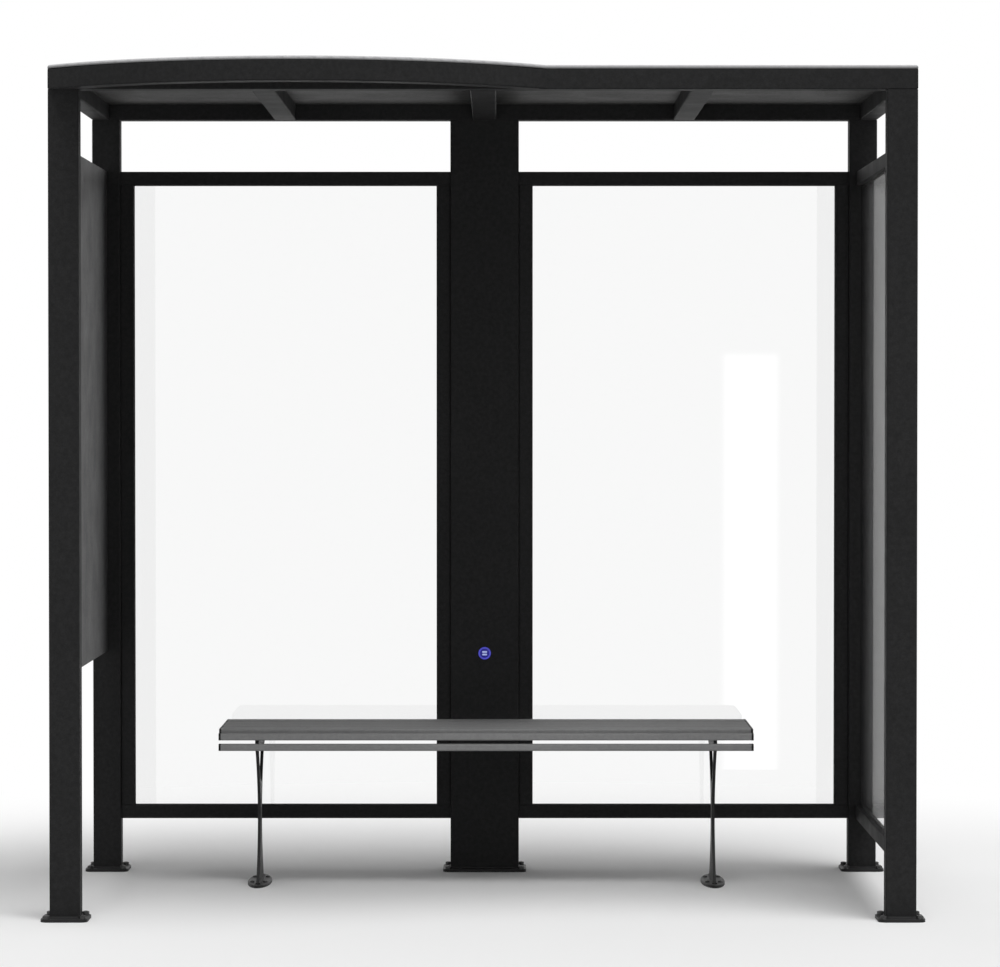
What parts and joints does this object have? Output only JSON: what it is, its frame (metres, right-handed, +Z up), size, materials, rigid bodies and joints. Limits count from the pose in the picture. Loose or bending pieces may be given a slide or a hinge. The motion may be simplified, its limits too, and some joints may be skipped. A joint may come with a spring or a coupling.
{
  "type": "bus shelter",
  "caption": "Open-fronted bus shelter with a flat roof bowed out over one half, framed glass at the back, a glass end, a solid end panel and a bench inside.",
  "frame": {"origin": "on the ground, at the middle of the footprint that the base plates and the bowed roof edge cover", "axes": "+Z up, +X from the solid end panel towards the glass end, +Y from the open front towards the glazed back"},
  "size_m": [2.362, 1.515, 2.285],
  "materials": {
    "frame_paint": "black powder coat, satin",
    "roof_metal": "light grey sheet, satin",
    "ceiling_metal": "dark grey sheet, matt",
    "screen_metal": "dark grey textured sheet, matt",
    "plate_metal": "black powder coat, satin",
    "window_glass": "clear toughened glass",
    "seat": "grey powder coated slats, satin",
    "end_caps": "black caps, satin",
    "cast_legs": "black coat over casting, satin",
    "socket": "dark plastic, glossy"
  },
  "bodies": {
    "root": {"back_beam": "frame_paint", "back_left_post": "frame_paint", "back_right_post": "frame_paint", "bench_feet": "cast_legs", "bow_beam": "frame_paint", "bow_ceiling_panel": "ceiling_metal", "ceiling_panels": "ceiling_metal", "centre_column": "frame_paint", "centre_rafter": "frame_paint", "charging_socket": "socket", "column_base_plate": "plate_metal", "front_beam": "frame_paint", "front_left_post": "frame_paint", "front_right_post": "frame_paint", "left_bench_leg": "cast_legs", "left_bench_saddle": "cast_legs", "left_end_caps": "end_caps", "left_rafter": "frame_paint", "left_side_beam": "frame_paint", "left_side_panel": "screen_metal", "left_window_bottom_rail": "frame_paint", "left_window_glass": "window_glass", "left_window_left_stile": "frame_paint", "left_window_right_stile": "frame_paint", "left_window_top_rail": "frame_paint", "lower_front_rail": "seat", "post_base_plates": "plate_metal", "right_bench_leg": "cast_legs", "right_bench_saddle": "cast_legs", "right_end_caps": "end_caps", "right_rafter": "frame_paint", "right_screen_bottom_rail": "frame_paint", "right_screen_glass": "window_glass", "right_screen_top_rail": "frame_paint", "right_side_beam": "frame_paint", "right_window_bottom_rail": "frame_paint", "right_window_glass": "window_glass", "right_window_left_stile": "frame_paint", "right_window_right_stile": "frame_paint", "right_window_top_rail": "frame_paint", "roof_sheet": "roof_metal", "seat_planks": "seat", "upper_front_rail": "seat"}
  },
  "joints": []
}
